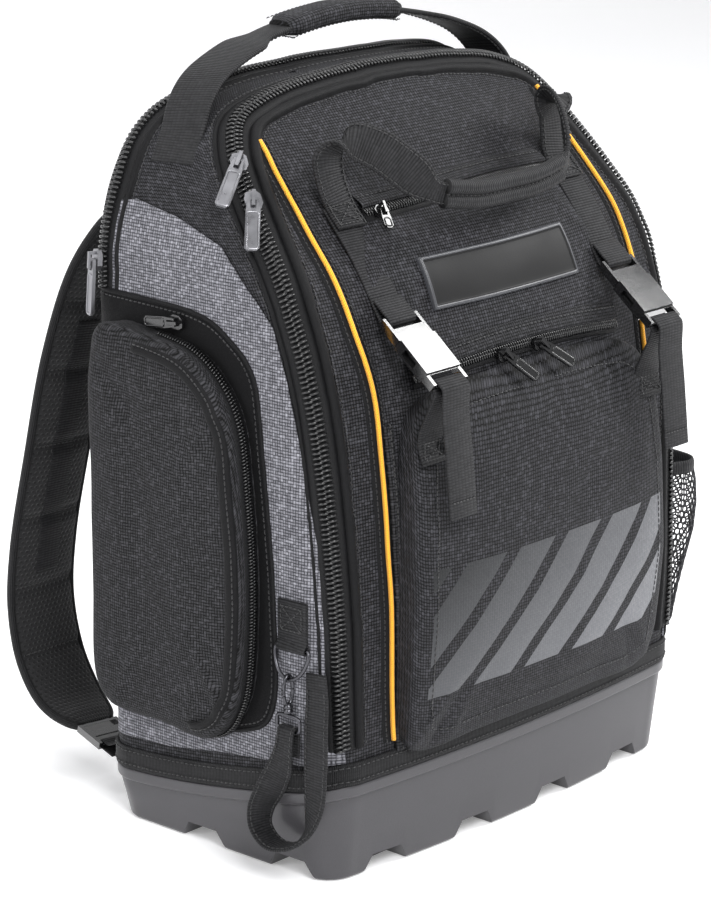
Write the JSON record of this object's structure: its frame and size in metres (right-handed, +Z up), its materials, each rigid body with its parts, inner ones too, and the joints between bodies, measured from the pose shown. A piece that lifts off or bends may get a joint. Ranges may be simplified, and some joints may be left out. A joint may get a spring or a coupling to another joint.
{
  "type": "tool backpack",
  "caption": "Upright tool backpack with a padded cloth body on a moulded base, zipped pockets, buckled front straps, grab handles, lanyard and carrying harness.",
  "frame": {"origin": "middle of the footprint, on the floor under the feet", "axes": "+Z up, -Y out of the front pocket, +X to the right as seen from the front"},
  "size_m": [0.4288, 0.3832, 0.55],
  "materials": {
    "black_cloth": "coarse black basket weave, matt",
    "grey_cloth": "mid-grey twill weave, matt",
    "webbing": "ribbed black webbing, satin",
    "net": "black air mesh, matt",
    "base_plastic": "moulded, satin",
    "orange_cord": "smooth piping, satin",
    "zip_coil": "nylon coil on black tape",
    "buckle_plastic": "polished moulded",
    "patch_rubber": "matt moulded",
    "puller_metal": "brushed, cast rim",
    "dark_metal": "black enamel, glossy"
  },
  "bodies": {
    "bag": {"body_shell": "black_cloth", "front_pocket": "black_cloth", "side_pocket": "black_cloth", "pocket_welt": "black_cloth", "top_grip": "black_cloth", "side_panel_left": "grey_cloth", "side_panel_right": "grey_cloth", "base_binding": "webbing", "top_handle": "webbing", "front_handle": "webbing", "front_grip": "webbing", "upper_strap_right": "webbing", "upper_strap_left": "webbing", "lower_strap_right": "webbing", "lower_strap_left": "webbing", "lower_web_left": "webbing", "lower_web_right": "webbing", "sternum_strap": "webbing", "lanyard_tab": "webbing", "lanyard_strap": "webbing", "mesh_pocket": "net", "back_panel": "net", "shoulder_strap_left": "net", "shoulder_strap_right": "net", "base_tub": "base_plastic", "piping_right": "orange_cord", "piping_left": "orange_cord", "front_zip": "zip_coil", "rear_zip": "zip_coil", "front_pocket_zip": "zip_coil", "side_pocket_zip": "zip_coil", "upper_pocket_zip": "zip_coil", "buckle_plug_right": "buckle_plastic", "buckle_plug_left": "buckle_plastic", "buckle_socket_right": "buckle_plastic", "buckle_socket_left": "buckle_plastic", "ladder_lock_left": "buckle_plastic", "ladder_lock_right": "buckle_plastic", "patch": "patch_rubber", "slider_rear": "puller_metal", "slider_front_upper": "puller_metal", "slider_front_lower": "puller_metal", "d_ring": "dark_metal", "snap_hook": "dark_metal", "hook_eye": "dark_metal", "slider_side_pocket": "dark_metal", "slider_pocket_left": "dark_metal", "slider_pocket_right": "dark_metal", "slider_upper_pocket": "dark_metal"},
    "hook_gate": {"hook_gate": "dark_metal"},
    "puller_rear": {"puller_rear": "puller_metal"},
    "puller_front_upper": {"puller_front_upper": "puller_metal"},
    "puller_front_lower": {"puller_front_lower": "puller_metal"},
    "puller_side_pocket": {"puller_side_pocket": "dark_metal"},
    "puller_pocket_left": {"puller_pocket_left": "dark_metal"},
    "puller_pocket_right": {"puller_pocket_right": "dark_metal"},
    "puller_upper_pocket": {"puller_upper_pocket": "dark_metal"}
  },
  "joints": [
    {"name": "hook_gate_spring_hinge", "type": "hinge", "parent": "bag", "child": "hook_gate", "pos_m": [-0.19839, -0.11122, 0.13236], "axis": [0, 1, 0], "range_deg": [0, 15], "stiffness_Nm_per_rad": 0.01},
    {"name": "puller_rear_swing", "type": "hinge", "parent": "bag", "child": "puller_rear", "pos_m": [-0.19323, 0.06452, 0.39452], "axis": [0.3879, 0.9215, -0.0184], "range_deg": [0, 110]},
    {"name": "puller_front_upper_swing", "type": "hinge", "parent": "bag", "child": "puller_front_upper", "pos_m": [-0.16725, -0.04578, 0.4718], "axis": [-0.4906, 0.8439, 0.2171], "range_deg": [0, 100]},
    {"name": "puller_front_lower_swing", "type": "hinge", "parent": "bag", "child": "puller_front_lower", "pos_m": [-0.1743, -0.0651, 0.45027], "axis": [-0.6779, 0.7341, 0.0387], "range_deg": [0, 100]},
    {"name": "puller_side_pocket_swing", "type": "hinge", "parent": "bag", "child": "puller_side_pocket", "pos_m": [-0.19521, -0.01262, 0.36474], "axis": [0.0114, 0.1191, 0.9928], "range_deg": [0, 100]},
    {"name": "puller_pocket_left_swing", "type": "hinge", "parent": "bag", "child": "puller_pocket_left", "pos_m": [-0.02596, -0.15305, 0.33549], "axis": [-0.7807, -0.1153, -0.6141], "range_deg": [0, 80]},
    {"name": "puller_pocket_right_swing", "type": "hinge", "parent": "bag", "child": "puller_pocket_right", "pos_m": [0.01122, -0.15333, 0.33611], "axis": [-0.7149, -0.1653, -0.6795], "range_deg": [0, 80]},
    {"name": "puller_upper_pocket_swing", "type": "hinge", "parent": "bag", "child": "puller_upper_pocket", "pos_m": [-0.08522, -0.09636, 0.43493], "axis": [-0.9608, 0.2323, 0.1513], "range_deg": [0, 90]}
  ]
}
